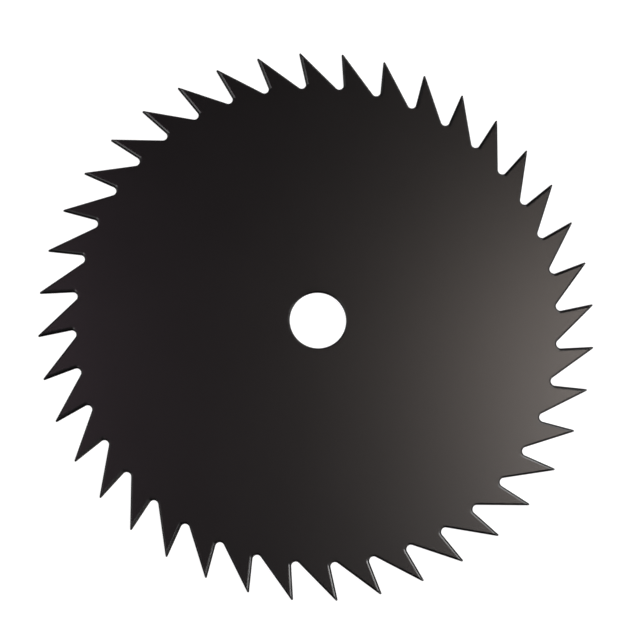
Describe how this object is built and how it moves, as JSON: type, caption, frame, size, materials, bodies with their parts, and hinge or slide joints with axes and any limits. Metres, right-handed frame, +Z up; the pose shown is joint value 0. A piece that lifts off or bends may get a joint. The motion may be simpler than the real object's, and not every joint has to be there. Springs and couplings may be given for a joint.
{
  "type": "brush cutter blade",
  "caption": "Flat round saw-toothed steel cutting disc with raked bevelled teeth and a plain central spindle bore, finished in satin black.",
  "frame": {"origin": "on the bore's axis, at the underside of the disc, which lies flat", "axes": "+Z up along the bore's axis, out of the face with the bevels; +X through the tip of one tooth"},
  "size_m": [0.25, 0.25, 0.0014],
  "materials": {
    "black_coating": "satin black baked coating on ground steel"
  },
  "bodies": {
    "root": {"blade": "black_coating"}
  },
  "joints": []
}
